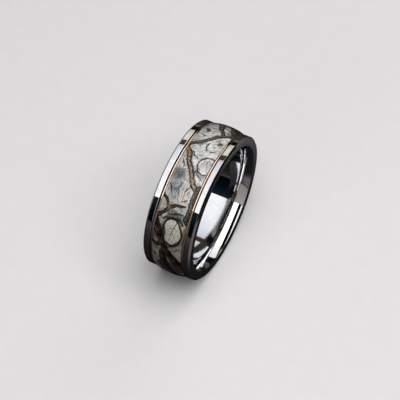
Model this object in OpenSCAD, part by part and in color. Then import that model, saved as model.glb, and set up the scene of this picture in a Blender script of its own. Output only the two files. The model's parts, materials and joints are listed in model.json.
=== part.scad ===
// Inlaid wedding band.
// A turned metal band with two flat rims, a comfort-fit bore and one wide domed channel round it.
// The channel holds a printed strip bonded down and sealed under clear resin, which is domed and
// stands proud of the rims. Two half-round gold wires frame it, their butt ends closed with solder.
// The bore axis lies along X, and the origin is the ring's centre.

/* [Band] */
// Straight bore diameter, which sets the finger size
bore_d = 19.84; // [15:0.01:21]
// Outside diameter over the rims
band_d = 24; // [23.2:0.1:28]
// Width from end face to end face
band_w = 8; // [7:0.1:12]
// Width of the 45 degree bevel at each outer edge
end_bevel = 0.26; // [0.1:0.01:0.5]

/* [Comfort fit] */
// Length of the straight stretch in the middle of the bore
straight_len = 3.6; // [2:0.1:5]
// How far the bore opens out, on the radius, from the straight stretch to the mouth
flare_rise = 0.62; // [0.3:0.01:0.8]
// Radius of the rounded lip between the flare and the end face
lip_r = 0.2; // [0.1:0.01:0.3]

/* [Rims] */
// Width of each rim, from the end face to the wire
rim_w = 1.15; // [0.9:0.01:1.6]
// Radius of the soft edge between a rim and its wire
rim_edge_r = 0.17; // [0.08:0.01:0.2]

/* [Gold wires] */
// Width of each wire where it shows
wire_w = 0.4; // [0.3:0.01:0.7]
// Depth of the wire's seat below the rims
wire_depth = 0.85; // [0.75:0.01:1]
// How much wider the seat's floor is than its mouth, under the rim
wire_undercut = 0.1; // [0.05:0.01:0.2]
// Distance of the wire's crown below the rims
crown_drop = 0.03; // [0:0.01:0.06]
// Length of the soldered joint in each wire
solder_len = 0.3; // [0.2:0.05:0.6]

/* [Print and resin] */
// How far the resin's surface rises from the wires to the middle of the band
dome_rise = 0.36; // [0.1:0.01:0.5]
// Thickness of the adhesive under the print
adhesive_t = 0.05; // [0.03:0.01:0.1]
// Thickness of the printed strip
film_t = 0.12; // [0.08:0.01:0.2]
// Thickness of the resin over the print
resin_t = 0.2; // [0.15:0.01:0.3]
// Distance of the resin's edges below the rims
resin_drop = 0.02; // [0.01:0.01:0.05]
// Radius of the resin's soft edges
resin_edge_r = 0.08; // [0.04:0.01:0.1]
// Gap between the ends of the printed strip
film_seam = 0.1; // [0.05:0.01:0.3]

/* [Hidden] */
$fn = 180;

metal_color = [0.78, 0.79, 0.81];
gold_color = [0.85, 0.56, 0.42];
solder_color = [0.88, 0.66, 0.48];
print_color = [0.72, 0.71, 0.67];
adhesive_color = [0.86, 0.82, 0.70];
resin_color = [0.95, 0.96, 0.97, 0.3];

bore_r = bore_d / 2;
band_r = band_d / 2;
half_w = band_w / 2;
reach = 1;                              // how far a cutting shape runs past what it cuts

// wires and channel, measured along the bore axis from the middle of the band
wire_out = half_w - rim_w;              // the rim's side of the wire
wire_in = wire_out - wire_w;            // the print's side of the wire
wire_mid = (wire_out + wire_in) / 2;
seat_r = band_r - wire_depth;           // floor of the wire's seat
shoulder_r = band_r - rim_edge_r;       // where the rim's soft edge ends
crown_r = band_r - crown_drop;
crown_rise = crown_r - shoulder_r;
crown_arc_r = (pow(wire_w / 2, 2) + pow(crown_rise, 2)) / (2 * crown_rise);

// the channel's floor and the layers on it are domed, on arcs that share one centre
edge_r = band_r - resin_drop;           // the resin's surface beside a wire
dome_arc_r = (pow(wire_in, 2) + pow(dome_rise, 2)) / (2 * dome_rise);
dome_centre = [edge_r + dome_rise - dome_arc_r, 0];
resin_arc_r = dome_arc_r - resin_t;     // underside of the resin
film_arc_r = resin_arc_r - film_t;      // underside of the printed strip
floor_arc_r = film_arc_r - adhesive_t;  // floor of the channel

// the resin's soft edge is an arc tangent to the dome and to the wire
edge_x = wire_in - resin_edge_r;
edge_centre = [dome_centre.x + sqrt(pow(dome_arc_r - resin_edge_r, 2) - pow(edge_x, 2)), edge_x];
edge_dir = (edge_centre - dome_centre) / norm(edge_centre - dome_centre);

// the flare is an arc tangent to the straight bore, and the lip is an arc tangent to the flare
flare_len = half_w - straight_len / 2;
flare_arc_r = (pow(flare_len, 2) + pow(flare_rise, 2)) / (2 * flare_rise);
flare_centre = [bore_r + flare_arc_r, straight_len / 2];
lip_x = half_w - lip_r;
lip_centre = [flare_centre.x - sqrt(pow(flare_arc_r - lip_r, 2) - pow(lip_x - flare_centre.y, 2)), lip_x];
lip_dir = (lip_centre - flare_centre) / norm(lip_centre - flare_centre);

// Turns a section, drawn as [radius, distance along the bore], about the bore axis
module turned() {
    rotate([0, 90, 0]) rotate_extrude() children();
}

// Repeats a section at both ends of the band
module both_ends() {
    children();
    mirror([0, 1]) children();
}

// What a rounded corner takes off a sharp one. The ends of its arc lie from the arc's centre
// in directions from and to, which are 1 long.
module corner_cut(centre, r, from, to) {
    translate(centre) difference() {
        polygon(2 * r * [[0, 0], from, from + to, to]);
        circle(r);
    }
}

// Body of the band before anything is cut into it
module blank_section() {
    polygon([
        [bore_r, -half_w], [band_r - end_bevel, -half_w], [band_r, end_bevel - half_w],
        [band_r, half_w - end_bevel], [band_r - end_bevel, half_w], [bore_r, half_w]
    ]);
}

// What the comfort-fit flare and its lip take off one end of the bore
module flare_section() {
    difference() {
        translate([bore_r - reach, flare_centre.y]) square([reach + flare_arc_r, flare_len + reach]);
        translate(flare_centre) circle(flare_arc_r);
    }
    corner_cut(lip_centre, lip_r, lip_dir, [0, 1]);
}

// Seat of one wire, undercut beneath the rim and open above
module seat_section() {
    polygon([
        [seat_r, wire_in], [seat_r, wire_out + wire_undercut], [shoulder_r, wire_out],
        [band_r + reach, wire_out], [band_r + reach, wire_in]
    ]);
}

// Everything between the wires, from the depth of their seats up to one of the dome's arcs
module under_arc(arc_r) {
    intersection() {
        translate(dome_centre) circle(arc_r);
        translate([seat_r, -wire_in]) square([arc_r, 2 * wire_in]);
    }
}

// Layer between two of the dome's arcs
module layer_section(low_arc_r, high_arc_r) {
    difference() {
        under_arc(high_arc_r);
        under_arc(low_arc_r);
    }
}

module core_section() {
    difference() {
        union() {
            blank_section();
            under_arc(floor_arc_r);
        }
        both_ends() flare_section();
        both_ends() seat_section();
        both_ends() corner_cut([shoulder_r, wire_out + rim_edge_r], rim_edge_r, [1, 0], [0, -1]);
        layer_section(floor_arc_r, dome_arc_r + reach);
    }
}

// Wire swaged into its seat, with a half-round crown
module wire_section() {
    intersection() {
        seat_section();
        union() {
            translate([seat_r, wire_in]) square([shoulder_r - seat_r, wire_w + wire_undercut]);
            translate([crown_r - crown_arc_r, wire_mid]) circle(crown_arc_r);
        }
    }
}

module resin_section() {
    difference() {
        layer_section(resin_arc_r, dome_arc_r);
        both_ends() corner_cut(edge_centre, resin_edge_r, edge_dir, [0, 1]);
    }
}

// Slab across the lowest point of the band, where every joint is hidden
module seam_slab(gap) {
    translate([-half_w, -gap / 2, -band_r - reach]) cube([band_w, gap, band_r]);
}

// Whole wire at one end, closed all the way round; end is 1 or -1
module closed_wire(end) {
    turned() mirror([0, (1 - end) / 2]) wire_section();
}

module gold_wire(end) {
    color(gold_color) difference() {
        closed_wire(end);
        seam_slab(solder_len);
    }
}

module wire_solder(end) {
    color(solder_color) intersection() {
        closed_wire(end);
        seam_slab(solder_len);
    }
}

module band_core() {
    color(metal_color) turned() core_section();
}

module inlay_adhesive() {
    color(adhesive_color) turned() layer_section(floor_arc_r, film_arc_r);
}

module camo_film() {
    color(print_color) difference() {
        turned() layer_section(film_arc_r, resin_arc_r);
        seam_slab(film_seam);
    }
}

// The resin also fills the seam of the printed strip
module clear_resin() {
    color(resin_color) union() {
        turned() resin_section();
        intersection() {
            turned() layer_section(film_arc_r, resin_arc_r);
            seam_slab(film_seam);
        }
    }
}

band_core();
inlay_adhesive();
camo_film();
clear_resin();
gold_wire(-1);  // gold_wire_left
gold_wire(1);  // gold_wire_right
wire_solder(-1);  // wire_solder_left
wire_solder(1);  // wire_solder_right
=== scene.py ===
# Inlaid wedding band, stood on edge in a small studio.
# The bore axis lies along X, the ring's centre is the origin and the viewer is towards -Y.
# Sections are lists of (radius, distance along the bore), in millimetres, turned about the bore axis.
# The materials work in millimetres too. The studio is in metres.
import json
import math

import bmesh
import bpy
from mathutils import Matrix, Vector


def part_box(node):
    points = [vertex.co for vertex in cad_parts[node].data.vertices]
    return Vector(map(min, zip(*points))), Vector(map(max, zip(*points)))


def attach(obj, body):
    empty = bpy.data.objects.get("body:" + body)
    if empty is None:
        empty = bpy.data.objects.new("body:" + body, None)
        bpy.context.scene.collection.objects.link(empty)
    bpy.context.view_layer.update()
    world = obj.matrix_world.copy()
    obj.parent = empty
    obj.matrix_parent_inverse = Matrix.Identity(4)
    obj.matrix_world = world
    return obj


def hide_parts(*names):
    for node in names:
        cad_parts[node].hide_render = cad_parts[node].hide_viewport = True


MM = 0.001
STEPS = 480                 # faces round the band
SOLDER_STEPS = 12           # faces round a solder joint
SHARP_ANGLE = math.radians(32)

# The camera stands where the photograph was taken from
CAMERA_AZIMUTH = math.radians(26.82)
CAMERA_ELEVATION = math.radians(53.55)
CAMERA_DISTANCE = 304.9 * MM
CAMERA_ASIDE = -0.19 * MM   # how far right of the ring's centre it aims
CAMERA_LENS = 175.7
CAMERA_SENSOR = 36.0
CAMERA_CLIP = (0.01, 10.0)

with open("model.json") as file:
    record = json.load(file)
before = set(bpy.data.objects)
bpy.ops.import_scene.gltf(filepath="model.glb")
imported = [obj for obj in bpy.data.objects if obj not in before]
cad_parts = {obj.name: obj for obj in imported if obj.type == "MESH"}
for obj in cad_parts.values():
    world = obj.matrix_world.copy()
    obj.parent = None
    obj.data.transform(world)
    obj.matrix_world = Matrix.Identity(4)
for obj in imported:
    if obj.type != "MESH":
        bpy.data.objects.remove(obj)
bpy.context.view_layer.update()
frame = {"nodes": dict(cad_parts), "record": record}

# ---------------------------------------------------------------- sizes, from the frame


def reach(node):
    """A turned node's outer radius and its right-hand end, in millimetres."""
    _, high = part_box(node)
    return max(high.y, high.z) / MM, high.x / MM


def mount(name):
    return next(m for m in frame["record"]["mounts"] if m["name"] == name)


BAND_R, HALF_W = reach("band_core")
CROWN_R, WIRE_FOOT = reach("gold_wire_right")
WIRE_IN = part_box("gold_wire_right")[0].x / MM
SURFACE_R, _ = reach("clear_resin")         # the crown of the dome
RESIN_R, _ = reach("camo_film")             # the resin's underside, below the crown
FILM_R, _ = reach("inlay_adhesive")         # the print's underside, below the crown
BORE_R = mount("finger_bore")["dims"]["r_mm"]
STRAIGHT = mount("finger_bore")["dims"]["length_mm"] / 2

# Small sizes of the same design, in millimetres
UNDERCUT = 0.1
WIRE_DEPTH = 0.85
ADHESIVE = 0.05
DOME_RISE = 0.36
RIM_EDGE = 0.17
END_BEVEL = 0.26
EDGE_BREAK = 0.035          # polishing leaves the bevel's two edges slightly round
FLARE_RISE = 0.62
LIP_R = 0.2
RESIN_EDGE = 0.08
FILM_SEAM = 0.1
FILM_BITE = 0.01            # the print reaches this far into the resin, so that no face lies on another
SOLDER = 0.3

WIRE_OUT = WIRE_FOOT - UNDERCUT
WIRE_MID = (WIRE_IN + WIRE_OUT) / 2
SEAT_R = BAND_R - WIRE_DEPTH
SHOULDER_R = BAND_R - RIM_EDGE
FLOOR_R = FILM_R - ADHESIVE     # the channel's floor, below the crown
DOME_CENTRE = SURFACE_R - (WIRE_IN ** 2 + DOME_RISE ** 2) / (2 * DOME_RISE)

# Turns are measured about X, from straight up towards the viewer
HIGHEST = 0.0
LOWEST = math.pi                # where every seam is


# ---------------------------------------------------------------- turned meshes


def arc(centre, radius, start, end, count):
    """Points on an arc in the (radius, along) plane, angles in degrees from the radius direction."""
    out = []
    for k in range(count + 1):
        a = math.radians(start + (end - start) * k / count)
        out.append((centre[0] + radius * math.cos(a), centre[1] + radius * math.sin(a)))
    return out


def rounded(before, corner, after, radius):
    """An arc that rounds off one corner of a section."""
    count = 6
    p = Vector(corner)
    a = (Vector(before) - p).normalized()
    b = (Vector(after) - p).normalized()
    half = a.angle(b) / 2
    centre = p + (a + b).normalized() * radius / math.sin(half)
    first = p + a * radius / math.tan(half) - centre
    last = p + b * radius / math.tan(half) - centre
    turn = first.angle_signed(last)
    out = []
    for k in range(count + 1):
        s = -turn * k / count
        out.append((centre.x + first.x * math.cos(s) - first.y * math.sin(s),
                    centre.y + first.x * math.sin(s) + first.y * math.cos(s)))
    return out


def both_ends(half_section):
    """A closed section from its half at positive distance along the bore, listed from the bore outwards."""
    return half_section + [(r, -x) for r, x in reversed(half_section)]


def lathe(name, section, gap=0.0):
    """Turns a closed section about X, but for a gap of this width at the lowest point."""
    return turned(name, section, HIGHEST, lambda r: math.pi - math.asin(gap / 2 / r), STEPS, gap == 0)


def short_lathe(name, section, width):
    """The short piece that fills a gap of this width at the lowest point."""
    return turned(name, section, LOWEST, lambda r: math.asin(width / 2 / r), SOLDER_STEPS, False)


def turned(name, section, middle, sweep_at, steps, closed):
    """Turns a section about X, by sweep_at(radius) to either side of the turn called middle."""
    bm = bmesh.new()
    rings = []
    for k in range(steps if closed else steps + 1):
        ring = []
        for r, x in section:
            sweep = sweep_at(r)
            t = middle - sweep + 2 * sweep * k / steps
            ring.append(bm.verts.new((x * MM, -r * math.sin(t) * MM, r * math.cos(t) * MM)))
        rings.append(ring)
    join(bm, rings, closed)
    return finish_mesh(name, bm)


def join(bm, rings, closed):
    """Faces between neighbouring rings, with a cap at each end if they don't close."""
    size = len(rings[0])
    pairs = list(zip(rings, rings[1:]))
    if closed:
        pairs.append((rings[-1], rings[0]))
    for a, b in pairs:
        for i in range(size):
            j = (i + 1) % size
            bm.faces.new((a[i], a[j], b[j], b[i]))
    if not closed:
        bm.faces.new(rings[0])
        bm.faces.new(reversed(rings[-1]))


def add_object(name, bm):
    """An object made from the bmesh, which is then let go."""
    mesh = bpy.data.meshes.new(name)
    bm.to_mesh(mesh)
    bm.free()
    made = bpy.data.objects.new(name, mesh)
    bpy.context.scene.collection.objects.link(made)
    return made


def finish_mesh(name, bm):
    """A smoothly shaded piece with sharp corners."""
    bmesh.ops.recalc_face_normals(bm, faces=bm.faces)
    for face in bm.faces:
        face.smooth = True
    piece = add_object(name, bm)
    piece.data.set_sharp_from_angle(angle=SHARP_ANGLE)
    even = piece.modifiers.new("flat_faces_stay_flat", "WEIGHTED_NORMAL")
    even.keep_sharp = True
    return piece


# ---------------------------------------------------------------- sections


def core_section():
    """Bore, flares, lips, end faces, bevels, rims, wire seats and the channel's floor."""
    flare_len = HALF_W - STRAIGHT
    flare_r = (flare_len ** 2 + FLARE_RISE ** 2) / (2 * FLARE_RISE)
    centre = (BORE_R + flare_r, STRAIGHT)
    lip_x = HALF_W - LIP_R
    lip_centre = (centre[0] - math.sqrt((flare_r - LIP_R) ** 2 - (lip_x - STRAIGHT) ** 2), lip_x)
    lean = math.degrees(math.atan2(lip_centre[1] - centre[1], lip_centre[0] - centre[0]))
    half = [(BORE_R, 0.0)]
    half += arc(centre, flare_r, 180, lean, 22)
    half += arc(lip_centre, LIP_R, lean, 90, 8)[1:]
    face = (BAND_R - END_BEVEL, HALF_W)
    rim = (BAND_R, HALF_W - END_BEVEL)
    edge = (BAND_R, WIRE_OUT + RIM_EDGE)
    half += rounded(half[-1], face, rim, EDGE_BREAK)
    half += rounded(face, rim, edge, EDGE_BREAK)
    half += arc((SHOULDER_R, edge[1]), RIM_EDGE, 0, -90, 12)
    half += [(SEAT_R, WIRE_FOOT), (SEAT_R, WIRE_IN)]
    half += dome(FLOOR_R, WIRE_IN, 0.0, 10)
    return both_ends(half[1:-1])


def wire_section(end):
    """Undercut foot and half-round crown; end is 1 on the right and -1 on the left."""
    rise = CROWN_R - SHOULDER_R
    half = (WIRE_OUT - WIRE_IN) / 2
    radius = (half ** 2 + rise ** 2) / (2 * rise)
    open_angle = math.degrees(math.asin(half / radius))
    out = [(SEAT_R, WIRE_IN), (SHOULDER_R, WIRE_IN)]
    out += arc((CROWN_R - radius, WIRE_MID), radius, -open_angle, open_angle, 18)[1:-1]
    out += [(SHOULDER_R, WIRE_OUT), (SEAT_R, WIRE_FOOT)]
    return [(r, end * x) for r, x in out]


def dome(crown_r, start, end, count):
    """Points along one of the dome's arcs, which share a centre."""
    xs = [start + (end - start) * k / count for k in range(count + 1)]
    return [(DOME_CENTRE + math.sqrt((crown_r - DOME_CENTRE) ** 2 - x ** 2), x) for x in xs]


def film_section():
    """The printed strip, between two of the dome's arcs."""
    return dome(RESIN_R + FILM_BITE, -WIRE_IN, WIRE_IN, 24) + dome(FILM_R, WIRE_IN, -WIRE_IN, 24)


def resin_section():
    """The resin over the print, with a soft edge beside each wire."""
    edge_x = WIRE_IN - RESIN_EDGE
    edge_arc = SURFACE_R - DOME_CENTRE - RESIN_EDGE
    edge_r = DOME_CENTRE + math.sqrt(edge_arc ** 2 - edge_x ** 2)
    lean = math.degrees(math.asin(edge_x / edge_arc))
    soft_edge = arc((edge_r, edge_x), RESIN_EDGE, 90, lean, 8)
    crown = dome(SURFACE_R, soft_edge[-1][1], 0.0, 12)
    half = dome(RESIN_R, 0.0, WIRE_IN, 12) + soft_edge + crown[1:]
    return both_ends(half[1:-1])


# ---------------------------------------------------------------- node trees


class Web:
    """Short names for the nodes that the materials use."""

    def __init__(self, tree):
        self.tree = tree
        self.out = None             # the output node
        self.stroke = None          # the print's stroke group
        self.spot = None            # place on the print, which the strokes hand on

    def node(self, kind, inputs=None, **settings):
        made = self.tree.nodes.new(kind)
        for name, value in settings.items():
            setattr(made, name, value)
        for name, value in (inputs or {}).items():
            self.feed(made.inputs[name], value)
        return made

    def feed(self, socket, value):
        if isinstance(value, bpy.types.NodeSocket):
            self.tree.links.new(value, socket)
        elif value is not None:
            socket.default_value = value

    def math(self, operation, a, b=None, c=None, clamp=False):
        made = self.node("ShaderNodeMath", operation=operation, use_clamp=clamp)
        for socket, value in zip(made.inputs, (a, b, c)):
            self.feed(socket, value)
        return made.outputs[0]

    def vector(self, operation, a, b=None, scale=None):
        made = self.node("ShaderNodeVectorMath", operation=operation)
        self.feed(made.inputs[0], a)
        self.feed(made.inputs[1], b)
        if scale is not None:
            self.feed(made.inputs["Scale"], scale)
        return made.outputs["Value"] if operation in ("LENGTH", "DOT_PRODUCT") else made.outputs[0]

    def combine(self, x, y, z=0.0):
        return self.node("ShaderNodeCombineXYZ", {"X": x, "Y": y, "Z": z}).outputs[0]

    def grey(self, value):
        return self.node("ShaderNodeCombineColor", {"Red": value, "Green": value, "Blue": value}).outputs[0]

    def separate(self, vector):
        return self.node("ShaderNodeSeparateXYZ", {"Vector": vector}).outputs

    def noise(self, vector, scale, detail=3.0, rough=0.55, distortion=0.0):
        made = self.node("ShaderNodeTexNoise", {
            "Vector": vector, "Scale": scale, "Detail": detail, "Roughness": rough, "Distortion": distortion})
        return made.outputs["Fac"]

    def noise_vector(self, vector, scale, detail=2.0):
        made = self.node("ShaderNodeTexNoise", {"Vector": vector, "Scale": scale, "Detail": detail})
        return self.vector("SUBTRACT", made.outputs["Color"], (0.5, 0.5, 0.5))

    def fit(self, value, low, high, to_low=0.0, to_high=1.0, smooth=True):
        made = self.node("ShaderNodeMapRange", {
            "Value": value, "From Min": low, "From Max": high, "To Min": to_low, "To Max": to_high},
            interpolation_type="SMOOTHSTEP" if smooth else "LINEAR")
        return made.outputs[0]

    def ramp(self, value, *stops):
        made = self.node("ShaderNodeValToRGB", {"Fac": value})
        ramp = made.color_ramp
        while len(ramp.elements) < len(stops):
            ramp.elements.new(0.5)
        for element, (place, color) in zip(ramp.elements, stops):
            element.position = place
            element.color = (*color, 1.0)
        return made.outputs["Color"]

    def mix(self, share, a, b, blend="MIX"):
        made = self.node("ShaderNodeMix", data_type="RGBA", blend_type=blend)
        self.feed(made.inputs["Factor"], share)
        for name, value in (("A", a), ("B", b)):
            socket = next(s for s in made.inputs if s.name == name and s.type == "RGBA")
            self.feed(socket, (*value, 1.0) if isinstance(value, tuple) else value)
        return next(s for s in made.outputs if s.type == "RGBA")

    def blend(self, share, a, b):
        made = self.node("ShaderNodeMix", data_type="FLOAT")
        self.feed(made.inputs["Factor"], share)
        for name, value in (("A", a), ("B", b)):
            self.feed(next(s for s in made.inputs if s.name == name and s.type == "VALUE"), value)
        return next(s for s in made.outputs if s.type == "VALUE")

    def rotate(self, vector, degrees):
        made = self.node("ShaderNodeVectorRotate", {"Vector": vector, "Angle": math.radians(degrees)},
                         rotation_type="Z_AXIS")
        return made.outputs[0]

    def voronoi(self, vector, scale):
        return self.node("ShaderNodeTexVoronoi", {"Vector": vector, "Scale": scale}).outputs

    def bump(self, height, strength, distance):
        return self.node("ShaderNodeBump", {
            "Height": height, "Strength": strength, "Distance": distance}).outputs[0]

    def place(self):
        return self.node("ShaderNodeTexCoord").outputs["Object"]

    def place_mm(self):
        return self.vector("SCALE", self.place(), scale=1 / MM)

    def surface(self, shader):
        self.feed(self.out.inputs["Surface"], shader.outputs[0])


def material(name):
    made = bpy.data.materials.new(name)
    made.use_nodes = True
    made.node_tree.nodes.clear()
    web = Web(made.node_tree)
    web.out = web.node("ShaderNodeOutputMaterial")
    return made, web


def round_place(web):
    """Position in millimetres: round the band from the top towards the viewer, along the bore, and radius."""
    x, y, z = web.separate(web.place_mm())
    turn = web.math("ARCTAN2", web.math("MULTIPLY", y, -1.0), z)
    radius = web.math("SQRT", web.math("ADD", web.math("MULTIPLY", y, y), web.math("MULTIPLY", z, z)))
    return web.math("MULTIPLY", turn, RESIN_R), x, radius


# ---------------------------------------------------------------- metals


METAL_RELIEF = 0.01 * MM
HAIR_SCALE = (0.12, 26.0, 26.0)     # per millimetre: round the band, along the bore and outwards
# Colour of the painted shade in the grooves beside the wires and along the wires' edges
GROOVE_SHADE = (0.05, 0.035, 0.028)
GROOVE_SHADE_SHARE = 0.85                # how much painted shade lies on a wire's edges


def polished(name, light, dark, rough_low, rough_high, grooves, painted_shade):
    """A polished metal with smudges, hairlines round the band and a faint orange peel.

    grooves is how much the hairlines stand out. The last argument gives the share of painted shade, in the
    grooves beside the wires and along their edges, from the distance along the bore and the radius.
    """
    made, web = material(name)
    u, v, radius = round_place(web)
    place = web.place_mm()
    smudge = web.noise(place, 0.45, 4.0, 0.6, 0.4)
    hairs = web.noise(web.vector("MULTIPLY", web.combine(u, v, radius), HAIR_SCALE), 1.0, 3.0, 0.6)
    peel = web.noise(place, 9.0, 3.0, 0.6)
    color = web.mix(web.fit(smudge, 0.3, 0.7), light, dark)
    # Painted shade in the grooves beside the wires and along the wires' edges
    color = web.mix(painted_shade(web, web.math("ABSOLUTE", v), radius), color, GROOVE_SHADE)
    rough = web.math("ADD", web.fit(smudge, 0.35, 0.7, rough_low, rough_high),
                     web.fit(hairs, 0.5, 0.75, 0.0, (rough_high - rough_low) * 0.8))
    height = web.math("ADD", web.math("MULTIPLY", hairs, grooves), web.math("MULTIPLY", peel, 0.15))
    shader = web.node("ShaderNodeBsdfPrincipled", {
        "Base Color": color, "Metallic": 1.0, "Roughness": rough,
        "Normal": web.bump(height, 0.05, METAL_RELIEF)})
    web.surface(shader)
    return made


def rim_shade(web, along, radius):
    """Painted shade low on the rims' soft edges, beside the wires."""
    low = web.fit(radius, BAND_R - 0.02, BAND_R - 0.05)
    beside_wire = web.fit(along, WIRE_OUT + RIM_EDGE + 0.04, WIRE_OUT + RIM_EDGE)
    above_seat = web.fit(radius, SEAT_R - 0.1, SEAT_R - 0.05)
    return web.math("MULTIPLY", web.math("MULTIPLY", low, beside_wire), above_seat)


def wire_shade(web, along, _radius):
    """Painted shade along both edges of a wire."""
    from_middle = web.math("ABSOLUTE", web.math("SUBTRACT", along, WIRE_MID))
    return web.fit(from_middle, 0.14, 0.2, 0.0, GROOVE_SHADE_SHARE)


# ---------------------------------------------------------------- printed strip

FAR_OUTSIDE = -9.0          # depth before any stroke is drawn
NUDGE = 1e-6                # share of the depth that each stroke adds to the place it hands on


def stroke_group():
    """Node group: the nearest of the strokes so far and one more, tapering from A along Span.

    It hands its place on, a hair further, so that a long chain of strokes is worked out one at
    a time. Otherwise the renderer starts them all and runs out of room.
    """
    tree = bpy.data.node_groups.new("stroke", "ShaderNodeTree")
    for name in ("Place", "A", "Span", "Forward", "Sideways"):
        tree.interface.new_socket(name, in_out="INPUT", socket_type="NodeSocketVector")
    for name in ("Width", "Growth", "Length", "Depth", "Across", "Along"):
        tree.interface.new_socket(name, in_out="INPUT", socket_type="NodeSocketFloat")
    tree.interface.new_socket("Place", in_out="OUTPUT", socket_type="NodeSocketVector")
    for name in ("Depth", "Across", "Along"):
        tree.interface.new_socket(name, in_out="OUTPUT", socket_type="NodeSocketFloat")
    web = Web(tree)
    given = web.node("NodeGroupInput").outputs
    from_a = web.vector("SUBTRACT", given["Place"], given["A"])
    share = web.math("MULTIPLY", web.vector("DOT_PRODUCT", from_a, given["Forward"]), 1.0, clamp=True)
    offset = web.vector("SUBTRACT", from_a, web.vector("SCALE", given["Span"], scale=share))
    width = web.math("MULTIPLY_ADD", share, given["Growth"], given["Width"])
    depth = web.math("SUBTRACT", width, web.vector("LENGTH", offset))
    across = web.math("DIVIDE", web.vector("DOT_PRODUCT", from_a, given["Sideways"]), width)
    nearer = web.math("GREATER_THAN", depth, given["Depth"])
    deepest = web.math("MAXIMUM", depth, given["Depth"])
    result = web.node("NodeGroupOutput").inputs
    web.feed(result["Depth"], deepest)
    web.feed(result["Across"], web.blend(nearer, given["Across"], across))
    web.feed(result["Along"], web.blend(nearer, given["Along"], web.math("MULTIPLY", share, given["Length"])))
    step = web.combine(web.math("MULTIPLY", deepest, NUDGE), 0.0)
    web.feed(result["Place"], web.vector("ADD", given["Place"], step))
    return tree


def strokes(web, path_list):
    """Depth inside, position across and along, for tapering paths of (u, v, half width)."""
    depth, across, along = FAR_OUTSIDE, 0.0, 0.0
    for path in path_list:
        for (*start, width), (*end, end_width) in zip(path, path[1:]):
            a = Vector((*start, 0.0))
            span = Vector((*end, 0.0)) - a
            made = web.node("ShaderNodeGroup", node_tree=web.stroke, inputs={
                "Place": web.spot, "A": a, "Span": span, "Forward": span / span.length_squared,
                "Sideways": Vector((-span.y, span.x, 0.0)) / span.length, "Width": width,
                "Growth": end_width - width, "Length": span.length, "Depth": depth, "Across": across,
                "Along": along})
            web.spot, depth, across, along = (made.outputs[n] for n in ("Place", "Depth", "Across", "Along"))
    return depth, across, along


def oval(web, centre, radii, turn):
    """Depth inside an oval, in millimetres, and the place within it."""
    spun = web.rotate(web.vector("SUBTRACT", web.spot, (*centre, 0.0)), turn)
    inside = web.vector("DIVIDE", spun, (*radii, 1.0))
    flat = web.vector("MULTIPLY", inside, (1.0, 1.0, 0.0))
    size = sum(radii) / 2
    return web.math("MULTIPLY", web.math("SUBTRACT", 1.0, web.vector("LENGTH", flat)), size), spun


# The pattern repeats twice round the band. Places on it are (round the band, along the bore) in
# millimetres, and a path lists (round the band, along the bore, half width).
PATTERN_START = -13.5
PATTERN_LENGTH = math.pi * RESIN_R
OLIVE_BRANCHES = [
    [(-6.8, 2.8, 0.2), (-5.3, 1.3, 0.27), (-3.7, 0.3, 0.25), (-2.0, -0.9, 0.28), (-0.9, -2.8, 0.32)],
    [(-12.0, -1.8, 0.4), (-9.4, -0.5, 0.38), (-7.0, 0.2, 0.32), (-5.3, 1.3, 0.2)],
]
TAN_BRANCHES = [
    [(-0.9, -2.8, 0.28), (0.8, -1.5, 0.32), (2.4, -0.9, 0.27), (4.0, 0.5, 0.3), (5.6, 1.3, 0.33),
     (6.8, 2.8, 0.3)],
]
TWIGS = [
    [(12.0, -2.8, 0.26), (10.9, -1.6, 0.2), (9.9, -0.9, 0.24), (9.3, 0.1, 0.19), (9.1, 1.4, 0.08)],
    [(8.2, -2.8, 0.13), (8.9, -1.7, 0.15), (9.9, -1.0, 0.19)],
]
# Dark bark along the right-hand wire
EDGE_BARK = [
    [(5.6, 2.3, 0.32), (7.4, 2.2, 0.45), (9.6, 2.5, 0.5), (11.0, 2.1, 0.28), (12.0, 2.8, 0.2)],
]
HEAVY_BRANCHES = [
    [(12.0, -2.9, 0.45), (13.6, -2.1, 0.7), (15.2, -1.2, 0.6), (17.0, -0.2, 0.48), (18.8, 1.0, 0.65),
     (21.0, 2.3, 0.7)],
    [(16.0, -0.8, 0.3), (17.0, -1.6, 0.28), (16.6, -2.9, 0.2)],
    [(17.0, -0.2, 0.4), (18.7, -0.6, 0.55), (20.4, -0.3, 0.7), (22.0, -0.2, 0.8), (24.7, 0.7, 0.55)],
    [(-13.5, 0.8, 0.6), (-11.3, 1.2, 0.7), (-9.0, 1.9, 0.75), (-6.6, 2.8, 0.6)],
]
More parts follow.
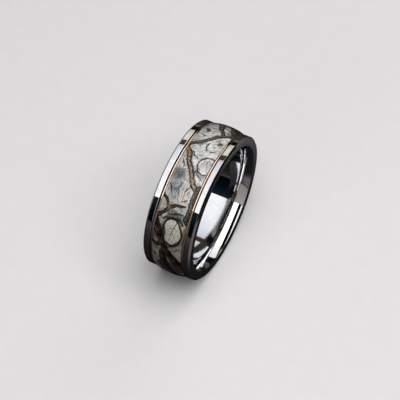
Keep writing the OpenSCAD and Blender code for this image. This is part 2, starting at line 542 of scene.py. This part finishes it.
# Dark marks on the pale bark
MARKS = [
    [(-5.8, -1.6, 0.28), (-5.2, -1.2, 0.2), (-4.6, -1.5, 0.06)],
    [(-4.2, -1.9, 0.05), (-3.6, -1.2, 0.14)],
    [(-3.2, 1.9, 0.2), (-2.6, 1.4, 0.08)],
    [(-2.3, 0.4, 0.08), (-1.4, 0.2, 0.12), (-0.5, 0.6, 0.03)],
    [(-1.2, 1.8, 0.05), (-0.7, 1.3, 0.12)],
    [(0.3, -1.2, 0.1), (1.0, -0.6, 0.08), (1.3, 0.1, 0.03)],
    [(2.0, -2.1, 0.04), (2.8, -1.5, 0.09), (3.1, -1.4, 0.03)],
    [(3.2, 0.6, 0.05), (4.0, 1.5, 0.1), (4.3, 2.1, 0.04)],
    [(5.6, -0.2, 0.04), (6.5, -0.6, 0.1), (7.4, -0.4, 0.03)],
    [(6.4, -2.2, 0.07), (6.9, -1.7, 0.14), (7.6, -1.5, 0.05)],
    [(6.2, 0.9, 0.05), (6.9, 0.5, 0.09)],
    [(8.1, 1.3, 0.08), (8.6, 0.5, 0.04)],
    [(10.9, -0.7, 0.06), (10.5, 0.4, 0.12), (10.3, 1.6, 0.1)],
    [(11.9, -1.4, 0.12), (11.4, -0.9, 0.14), (11.2, 0.0, 0.05)],
    [(16.6, 1.9, 0.1), (17.1, 1.4, 0.04)],
    [(18.9, -1.9, 0.12), (19.7, -2.1, 0.1)],
    [(-8.3, 0.8, 0.05), (-7.6, 1.4, 0.05)],
]
# Round leaf by the right-hand wire, and the larger pale one lower down: centre, radii, turn in degrees
RING_LEAF = ((1.9, 1.9), (1.5, 1.25), 20)
PALE_LEAF = ((13.7, 0.5), (2.2, 1.45), -12)
# Veins of both leaves, and dark marks beside the pale one
LEAF_VEINS = [
    [(11.8, 0.9, 0.09), (13.6, 0.5, 0.07), (15.4, 0.2, 0.02)],
    [(12.7, 0.7, 0.06), (13.2, 1.4, 0.02)],
    [(13.8, 0.5, 0.06), (14.4, 1.1, 0.02)],
    [(12.9, 0.6, 0.06), (13.1, -0.1, 0.02)],
    [(14.0, 0.4, 0.05), (14.3, -0.2, 0.02)],
    [(1.0, 1.6, 0.05), (2.0, 1.8, 0.04), (2.8, 2.2, 0.02)],
]
LEAF_SHADOWS = [
    [(13.0, -1.1, 0.2), (13.9, -0.7, 0.2), (14.8, -0.6, 0.14)],
    [(11.7, -0.9, 0.1), (11.2, 0.2, 0.18), (11.3, 1.3, 0.22), (12.0, 2.0, 0.14)],
    [(15.2, 1.6, 0.1), (16.0, 0.9, 0.13), (16.7, -0.1, 0.15)],
]
# Soft shadows and patches of rough bark: centre, radii, turn in degrees, colour and strength
SHADOWS = [
    ((6.4, -0.4), (2.9, 2.0), 0, (0.33, 0.32, 0.305), 0.7),
    ((4.5, -1.5), (1.2, 1.1), 15, (0.12, 0.125, 0.13), 0.95),
    ((7.0, -1.1), (1.6, 0.8), -15, (0.2, 0.215, 0.24), 0.7),
    ((-3.0, 1.8), (0.9, 0.6), -10, (0.19, 0.18, 0.14), 0.85),
    ((-6.0, -1.6), (0.9, 0.6), -20, (0.19, 0.2, 0.19), 0.8),
    ((7.8, 0.6), (0.7, 0.6), 0, (0.55, 0.4, 0.3), 0.5),
    ((10.8, 0.5), (0.9, 2.2), 8, (0.13, 0.14, 0.125), 0.95),
    ((14.2, 2.5), (2.8, 0.4), 0, (0.17, 0.13, 0.08), 0.85),
    ((15.2, -2.3), (1.1, 0.6), 10, (0.1, 0.105, 0.095), 0.85),
    ((22.4, 0.5), (2.4, 2.6), 0, (0.05, 0.043, 0.035), 0.9),
    ((-10.8, -0.1), (1.3, 0.9), 0, (0.07, 0.055, 0.04), 0.85),
    ((-6.9, 1.7), (0.8, 0.5), 20, (0.09, 0.085, 0.06), 0.8),
]
# Brown knots on the branches, in the same form
KNOTS = [
    ((0.1, -2.1), (0.7, 0.35), 20, (0.25, 0.125, 0.045), 0.85),
    ((9.9, -1.0), (0.5, 0.25), -40, (0.26, 0.13, 0.045), 0.85),
    ((4.9, 0.9), (0.5, 0.25), 25, (0.3, 0.18, 0.1), 0.7),
    ((16.1, -0.9), (0.4, 0.3), 0, (0.12, 0.075, 0.035), 0.8),
]
INK = (0.016, 0.012, 0.01)
OUTLINE = 0.15              # width of the branches' dark outline
GROUND_TONES = [(0.34, (0.14, 0.145, 0.15)), (0.42, (0.38, 0.38, 0.38)), (0.5, (0.6, 0.595, 0.58)),
                (0.62, (0.72, 0.71, 0.69))]
LEAF_TONES = [(0.36, (0.3, 0.285, 0.25)), (0.46, (0.58, 0.55, 0.48)), (0.58, (0.7, 0.67, 0.6))]
PRINT_GLOSS = 0.1
PRINT_RELIEF = 0.01 * MM


def branch_layer(web, grain, under, path_list, shadow, middle, light):
    """Bark-covered branches over what is under them, lit from one side and with a dark outline.

    grain picks the bark's grain, so that no two layers share one.
    """
    depth, across, along = strokes(web, path_list)
    fibre = web.vector("MULTIPLY", web.combine(along, across, grain), (1.1, 1.3, 1.0))
    bark = web.noise(fibre, 2.2, 5.0, 0.75, 0.5)
    tone = web.math("MULTIPLY_ADD", across, -0.1, bark)
    body = web.ramp(tone, (0.38, shadow), (0.48, middle), (0.58, light))
    knots = web.fit(web.noise(web.combine(along, across, grain + 3.0), 0.9, 3.0, 0.6), 0.54, 0.62)
    body = web.mix(web.math("MULTIPLY", knots, 0.85), body, shadow)
    under = web.mix(web.fit(depth, -0.25, 0.0, 0.0, 0.5), under, (0.08, 0.075, 0.07))
    ragged = web.math("MULTIPLY_ADD", web.math("SUBTRACT", bark, 0.5), 0.5, depth)
    under = web.mix(web.fit(ragged, -OUTLINE, -OUTLINE * 0.2), under, INK)
    return web.mix(web.fit(ragged, OUTLINE * 0.4, OUTLINE * 1.4), under, body)


def mark_layer(web, under, path_list, soft=0.1, strength=0.95):
    """Thin, patchy dark strokes, whose edges are this soft in millimetres."""
    depth, _, _ = strokes(web, path_list)
    patchy = web.fit(web.noise(web.spot, 5.0, 3.0, 0.6), 0.25, 0.5, 0.55, 1.0)
    mask = web.math("MULTIPLY", web.fit(depth, -soft, soft * 0.5), patchy)
    return web.mix(web.math("MULTIPLY", mask, strength), under, INK)


def shadow_layer(web, under, streaks, patches):
    """Streaky patches with torn edges."""
    tone = web.grey(web.fit(streaks, 0.38, 0.6, 0.2, 1.7))
    for centre, radii, turn, color, strength in patches:
        depth, _ = oval(web, centre, radii, turn)
        torn = web.math("MULTIPLY_ADD", web.math("SUBTRACT", streaks, 0.5), 3.4, depth)
        body = web.mix(1.0, tone, color, "MULTIPLY")
        under = web.mix(web.fit(torn, -0.2, 0.45, 0.0, strength), under, body)
    return under


def leaf_layer(web, under, centre, radii, turn, line, fill):
    """An oval leaf with a dark outline of width line. fill is how much its blade hides what is under it."""
    depth, local = oval(web, centre, radii, turn)
    veins = web.noise(web.vector("MULTIPLY", local, (1.0, 2.6, 1.0)), 1.5, 5.0, 0.7)
    body = web.ramp(veins, *LEAF_TONES)
    thick = web.math("MULTIPLY_ADD", web.math("SUBTRACT", veins, 0.5), line * 1.5, depth)
    outlined = web.mix(web.fit(thick, -line * 2.6, -line, 0.0, 0.5), under, (0.09, 0.085, 0.08))
    outlined = web.mix(web.fit(thick, -line * 1.2, -line * 0.7), outlined, INK)
    inside = web.mix(fill, under, body)
    return web.mix(web.fit(thick, 0.0, line * 0.4), outlined, inside)


def bark_ground(web, place, rough_place):
    """Pale, mottled and finely scratched bark, which everything else lies on."""
    mottle = web.noise(place, 0.8, 7.0, 0.7, 0.6)
    ground = web.ramp(mottle, *GROUND_TONES)
    blotch = web.fit(web.noise(rough_place, 1.3, 5.0, 0.72), 0.53, 0.62, 0.0, 0.75)
    ground = web.mix(blotch, ground, (0.19, 0.195, 0.2))
    slanted = web.vector("MULTIPLY", web.rotate(rough_place, 32), (0.8, 6.0, 1.0))
    scratches = web.fit(web.noise(slanted, 1.3, 4.0, 0.65), 0.53, 0.61)
    where = web.fit(web.noise(place, 0.42, 2.0), 0.44, 0.54)
    scratched = web.math("MULTIPLY", scratches, web.math("MULTIPLY", where, 0.85))
    ground = web.mix(scratched, ground, (0.08, 0.074, 0.068))
    speck = web.voronoi(rough_place, 1.7)
    chosen = web.fit(web.node("ShaderNodeSeparateColor", {"Color": speck["Color"]}).outputs[0], 0.42, 0.46)
    dots = web.math("MULTIPLY", web.fit(speck["Distance"], 0.26, 0.12), chosen)
    return web.mix(web.math("MULTIPLY", dots, 0.9), ground, INK)


def print_film():
    """Printed strip: pale bark with branches, leaves and shadows, as woodland patterns have.

    The layers are listed from the bottom up.
    """
    made, web = material("woodland_print")
    u, v, _ = round_place(web)
    flat = web.combine(u, v)
    slow = web.vector("SCALE", web.noise_vector(flat, 0.6), scale=0.5)
    quick = web.vector("SCALE", web.noise_vector(flat, 2.6, 4.0), scale=0.22)
    wobble = web.vector("MULTIPLY", web.vector("ADD", slow, quick), (1.0, 1.0, 0.0))
    rough_place = web.vector("ADD", flat, wobble)
    repeated = web.combine(web.math("WRAP", u, PATTERN_START + PATTERN_LENGTH, PATTERN_START), v)
    web.spot = web.vector("ADD", repeated, wobble)
    web.stroke = stroke_group()
    streaks = web.noise(web.vector("MULTIPLY", rough_place, (1.0, 2.8, 1.0)), 1.5, 6.0, 0.72, 0.3)

    color = bark_ground(web, flat, rough_place)
    tan = web.fit(web.separate(web.spot)[0], 10.5, 13.5, 0.0, 0.75)
    color = web.mix(tan, color, web.mix(1.0, color, (0.78, 0.7, 0.58), "MULTIPLY"))
    color = shadow_layer(web, color, streaks, SHADOWS)
    color = mark_layer(web, color, MARKS)
    color = leaf_layer(web, color, *RING_LEAF, 0.17, 0.0)
    color = branch_layer(web, 1.0, color, OLIVE_BRANCHES,
                         (0.016, 0.014, 0.01), (0.07, 0.063, 0.046), (0.2, 0.185, 0.14))
    color = branch_layer(web, 4.0, color, TAN_BRANCHES,
                         (0.045, 0.028, 0.019), (0.18, 0.125, 0.09), (0.44, 0.32, 0.235))
    color = leaf_layer(web, color, *PALE_LEAF, 0.32, 1.0)
    color = mark_layer(web, color, LEAF_VEINS, soft=0.04, strength=0.8)
    color = mark_layer(web, color, LEAF_SHADOWS)
    color = branch_layer(web, 6.0, color, EDGE_BARK,
                         (0.005, 0.004, 0.003), (0.014, 0.011, 0.009), (0.16, 0.12, 0.08))
    color = branch_layer(web, 8.0, color, TWIGS,
                         (0.008, 0.006, 0.004), (0.038, 0.024, 0.015), (0.26, 0.145, 0.07))
    color = branch_layer(web, 11.0, color, HEAVY_BRANCHES,
                         (0.004, 0.003, 0.003), (0.013, 0.01, 0.008), (0.14, 0.1, 0.065))
    color = shadow_layer(web, color, streaks, KNOTS)

    grain = web.noise(flat, 13.0, 3.0, 0.7)
    color = web.mix(1.0, color, web.grey(web.fit(grain, 0.25, 0.75, 0.72, 1.25)), "MULTIPLY")
    shader = web.node("ShaderNodeBsdfPrincipled", {
        "Base Color": color, "Roughness": web.fit(grain, 0.3, 0.7, 0.42, 0.6),
        "Specular IOR Level": PRINT_GLOSS, "Normal": web.bump(grain, 0.2, PRINT_RELIEF)})
    web.surface(shader)
    return made


# ---------------------------------------------------------------- clear resin and adhesive


COAT_IOR = 1.25             # weaker reflections than real resin's, as in the photograph
COAT_RELIEF = 0.02 * MM


def clear_coat():
    """Clear resin as a thin coat: see-through, with a gloss that grows towards flat angles."""
    made, web = material("clear_resin")
    place = web.place_mm()
    ripple = web.noise(place, 0.7, 2.0)
    wear = web.noise(place, 3.0, 4.0)
    gloss = web.node("ShaderNodeBsdfGlossy", {
        "Color": (1.0, 1.0, 1.0, 1.0), "Roughness": web.fit(wear, 0.4, 0.8, 0.02, 0.09),
        "Normal": web.bump(ripple, 0.1, COAT_RELIEF)})
    tint = web.mix(web.fit(wear, 0.3, 0.7), (0.97, 0.975, 0.97), (1.0, 1.0, 1.0))
    clear = web.node("ShaderNodeBsdfTransparent", {"Color": tint})
    shine = web.node("ShaderNodeFresnel", {"IOR": COAT_IOR})
    both = web.node("ShaderNodeMixShader", {"Fac": shine.outputs[0]})
    web.feed(both.inputs[1], clear.outputs[0])
    web.feed(both.inputs[2], gloss.outputs[0])
    web.surface(both)
    return made


def bond_layer():
    """Cloudy amber adhesive with bubbles."""
    made, web = material("clear_bond")
    place = web.place_mm()
    cloud = web.noise(place, 1.2, 4.0)
    bubbles = web.fit(web.voronoi(place, 2.0)["Distance"], 0.1, 0.16)
    color = web.mix(web.fit(cloud, 0.35, 0.65), (0.72, 0.66, 0.5), (0.82, 0.78, 0.66))
    shader = web.node("ShaderNodeBsdfPrincipled", {
        "Base Color": color, "Roughness": web.fit(cloud, 0.3, 0.7, 0.2, 0.35),
        "Normal": web.bump(bubbles, 0.4, COAT_RELIEF)})
    web.surface(shader)
    return made


# ---------------------------------------------------------------- pieces


def piece_for(node, piece, finish):
    """Puts a piece in the place of one of the frame's nodes."""
    piece.data.materials.append(finish)
    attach(piece, "root")
    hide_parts(node)


def build_band():
    """Every visible piece in the place of its node. The adhesive keeps the frame's own mesh."""
    silver = polished("polished_band", (0.86, 0.87, 0.89), (0.79, 0.8, 0.83), 0.03, 0.06, 1.0, rim_shade)
    gold = polished("rose_gold", (0.94, 0.73, 0.56), (0.88, 0.65, 0.48), 0.03, 0.07, 0.6, wire_shade)
    joint = polished("gold_solder", (0.95, 0.77, 0.61), (0.9, 0.7, 0.53), 0.14, 0.24, 1.0, wire_shade)
    piece_for("band_core", lathe("polished_core", core_section()), silver)
    film = lathe("printed_strip", film_section(), gap=FILM_SEAM)
    piece_for("camo_film", film, print_film())
    piece_for("clear_resin", lathe("resin_coat", resin_section()), clear_coat())
    for side, end in (("left", -1), ("right", 1)):
        wire = lathe("half_round_wire_" + side, wire_section(end), gap=SOLDER)
        piece_for("gold_wire_" + side, wire, gold)
        bead = short_lathe("solder_joint_" + side, wire_section(end), SOLDER)
        piece_for("wire_solder_" + side, bead, joint)
    bond = bond_layer()
    for slot in frame["nodes"]["inlay_adhesive"].material_slots:
        slot.material = bond


# ---------------------------------------------------------------- studio

STUDIO_R = 0.5              # from the ring to the cards and the lamps
FLOOR_SPAN = 1.2            # the floors' radius
FLOOR_Z = -SURFACE_R * MM
FLAG_DROP = 0.05 * MM       # from the pale floor down to the dark one

# Cards curve round the X axis. Their glow is listed as (turn, colour), where the turn is in
# degrees from straight up towards the viewer.
MAIN_GLOW = [(-35.2, (0.78, 0.5, 0.4)), (-32.8, (0.78, 0.5, 0.4)), (-32.0, (0.67, 0.75, 0.84)),
             (-14.0, (0.92, 0.93, 0.95)), (14.0, (1.05, 1.06, 1.07)), (48.0, (1.12, 1.12, 1.11))]
REAR_GLOW = [(-72.0, (0.5, 0.5, 0.38)), (-64.0, (0.68, 0.67, 0.55)), (-56.0, (0.8, 0.79, 0.7)),
             (-46.0, (0.76, 0.72, 0.6)), (-45.0, (0.045, 0.042, 0.048)), (-35.4, (0.045, 0.042, 0.048))]
LOW_GLOW = [(-92.0, (0.1, 0.11, 0.07)), (-83.0, (0.12, 0.12, 0.1))]
SIDE_GLOW = [(-40.0, (0.03, 0.025, 0.025)), (60.0, (0.05, 0.04, 0.04))]
HOT_GLOW = [(-66.0, (0.4, 0.39, 0.36)), (-36.0, (0.5, 0.48, 0.46)), (-30.0, (1.0, 1.0, 1.0)),
            (53.0, (1.0, 1.0, 1.0))]
RIGHT_GLOW = [(54.0, (0.4, 0.37, 0.35)), (90.0, (0.25, 0.22, 0.21))]
FRONT_GLOW = [(54.5, (0.007, 0.015, 0.024)), (72.0, (0.002, 0.004, 0.006)), (90.0, (0.001, 0.001, 0.002))]
GLOW_SCALE = 1.2            # keeps the ramps' colours under 1

# The dark floor's tones going out from under the ring, as shares of STUDIO_R: darkest close under the ring, a
# painted shadow, and darker again far off
FLAG_TONES = [(0.04, (0.01, 0.009, 0.009)), (0.2, (0.045, 0.04, 0.042)), (0.5, (0.04, 0.036, 0.038)),
              (0.8, (0.002, 0.002, 0.003))]


def glow(name, stops, power):
    """Light whose colour changes with the turn about X."""
    made, web = material(name)
    _, y, z = web.separate(web.place())
    turn = web.math("DEGREES", web.math("ARCTAN2", web.math("MULTIPLY", y, -1.0), z))
    low, high = stops[0][0], stops[-1][0]
    scaled = [((t - low) / (high - low), tuple(c / GLOW_SCALE for c in color)) for t, color in stops]
    color = web.ramp(web.fit(turn, low, high, smooth=False), *scaled)
    light = web.node("ShaderNodeEmission", {"Color": color, "Strength": GLOW_SCALE * power})
    web.surface(light)
    return made


def card(name, stops, low_x, high_x, high_turn=None, power=1.0):
    """A curved card that only reflections see, from its first stop to its last, or on to high_turn.

    low_x and high_x are its ends along the bore, in multiples of its distance from the ring.
    """
    low_turn = stops[0][0]
    high_turn = stops[-1][0] if high_turn is None else high_turn
    bm = bmesh.new()
    rows = []
    count = max(2, int(abs(high_turn - low_turn) / 2))
    for k in range(count + 1):
        t = math.radians(low_turn + (high_turn - low_turn) * k / count)
        rows.append([bm.verts.new((x * STUDIO_R, -STUDIO_R * math.sin(t), STUDIO_R * math.cos(t)))
                     for x in (low_x, high_x)])
    for a, b in zip(rows, rows[1:]):
        bm.faces.new((a[0], a[1], b[1], b[0]))
    made = add_object(name, bm)
    made.data.materials.append(glow(name + "_glow", stops, power))
    made.visible_camera = False
    made.visible_diffuse = False
    made.visible_shadow = False


def soft_lamp(name, turn, aside, size, power):
    """A square lamp that lights matt surfaces and doesn't show in reflections.

    Its turn is measured like a card's, and aside leans it towards the ring's right.
    """
    data = bpy.data.lights.new(name, "AREA")
    data.shape = "SQUARE"
    data.size = size
    data.energy = power
    lamp = bpy.data.objects.new(name, data)
    t = math.radians(turn)
    lamp.location = Vector((aside, -math.sin(t), math.cos(t))).normalized() * STUDIO_R
    lamp.rotation_euler = lamp.location.to_track_quat("Z", "Y").to_euler()
    lamp.visible_glossy = False
    lamp.visible_camera = False
    bpy.context.scene.collection.objects.link(lamp)


def pale_floor():
    """The floor the camera sees: lit near the ring, and glowing evenly further off."""
    made, web = material("pale_floor")
    place = web.place()
    grain = web.noise(place, 400.0, 4.0)
    pale = web.mix(grain, (0.65, 0.637, 0.641), (0.69, 0.675, 0.68))
    far = web.fit(web.vector("LENGTH", place), 0.08, 0.35)
    color = web.mix(far, pale, (0.02, 0.02, 0.02))
    shader = web.node("ShaderNodeBsdfPrincipled", {
        "Base Color": color, "Roughness": 0.8, "Specular IOR Level": 0.1,
        "Emission Color": (0.66, 0.652, 0.655, 1.0), "Emission Strength": far})
    web.surface(shader)
    return made


def dark_floor():
    """What polished metal sees of the floor: dark, with a painted shadow under the ring and painted pools of
    light away to the left and right.
    """
    made, web = material("dark_flag")
    place = web.place()
    away = web.vector("LENGTH", place)
    aside = web.math("DIVIDE", web.separate(place)[0], away)
    color = web.ramp(web.fit(away, 0.0, STUDIO_R, smooth=False), *FLAG_TONES)
    # Painted pool of light to the ring's right
    right = web.math("MULTIPLY", web.fit(aside, 0.0, 0.5), web.fit(away, 0.018, 0.035))
    color = web.mix(right, color, (0.11, 0.1, 0.105))
    # Painted pool of light to the ring's left
    left = web.math("MULTIPLY", web.fit(aside, -0.45, -0.8), web.fit(away, 0.03, 0.08))
    color = web.mix(left, color, (0.3, 0.27, 0.24))
    shader = web.node("ShaderNodeBsdfDiffuse", {"Color": color})
    web.surface(shader)
    return made


def build_floors():
    """The pale floor under the ring, and just below it the dark one for its reflections."""
    floor = disc("floor", FLOOR_Z)
    floor.visible_glossy = False
    floor.visible_diffuse = False
    floor.visible_shadow = False
    floor.data.materials.append(pale_floor())
    dark = disc("floor_flag", FLOOR_Z - FLAG_DROP)
    dark.visible_camera = False
    dark.visible_shadow = False
    dark.data.materials.append(dark_floor())


def build_studio():
    build_floors()
    card("main_softbox", MAIN_GLOW, -0.40, -0.19, high_turn=53.5)
    card("far_softbox", MAIN_GLOW, 0.82, 1.15, high_turn=53.5)
    card("rear_softbox", REAR_GLOW, -0.60, -0.12)
    card("far_rear_softbox", REAR_GLOW, 0.66, 1.00)
    card("low_card", LOW_GLOW, -0.60, 0.30)
    card("side_card", SIDE_GLOW, -3.00, -0.46)
    card("hot_card", HOT_GLOW, 0.0, 0.5, power=2.4)
    card("front_card", FRONT_GLOW, -0.60, -0.05)
    card("right_card", RIGHT_GLOW, 0.0, 2.0)
    soft_lamp("key_lamp", 9, 0.25, 0.5, 3.5)
    soft_lamp("low_lamp", 75, -0.1, 0.3, 0.5)
    soft_lamp("rear_lamp", -62, 0.1, 0.3, 0.5)


def build_world():
    """Pale behind the floor where the camera looks, and nearly black to everything else."""
    world = bpy.data.worlds.new("studio")
    bpy.context.scene.world = world
    world.use_nodes = True
    world.node_tree.nodes.clear()
    web = Web(world.node_tree)
    web.out = web.node("ShaderNodeOutputWorld")
    seen = web.node("ShaderNodeLightPath").outputs["Is Camera Ray"]
    color = web.mix(seen, (0.004, 0.004, 0.004), (0.68, 0.672, 0.675))
    web.surface(web.node("ShaderNodeBackground", {"Color": color, "Strength": 1.0}))


def disc(name, z):
    """A flat disc, for the floors."""
    sides = 96
    bm = bmesh.new()
    rim = []
    for k in range(sides):
        t = 2 * math.pi * k / sides
        rim.append(bm.verts.new((FLOOR_SPAN * math.cos(t), FLOOR_SPAN * math.sin(t), z)))
    bm.faces.new(rim)
    made = add_object(name, bm)
    return made


def build_camera():
    back = Vector((math.sin(CAMERA_AZIMUTH) * math.cos(CAMERA_ELEVATION),
                   -math.cos(CAMERA_AZIMUTH) * math.cos(CAMERA_ELEVATION), math.sin(CAMERA_ELEVATION)))
    right = Vector((math.cos(CAMERA_AZIMUTH), math.sin(CAMERA_AZIMUTH), 0.0))
    data = bpy.data.cameras.new("camera")
    data.lens = CAMERA_LENS
    data.sensor_width = CAMERA_SENSOR
    data.clip_start, data.clip_end = CAMERA_CLIP
    camera = bpy.data.objects.new("camera", data)
    camera.location = right * CAMERA_ASIDE + back * CAMERA_DISTANCE
    camera.rotation_euler = back.to_track_quat("Z", "Y").to_euler()
    bpy.context.scene.collection.objects.link(camera)
    bpy.context.scene.camera = camera


build_band()
build_studio()
build_world()
build_camera()
bpy.context.scene.view_settings.view_transform = "Standard"
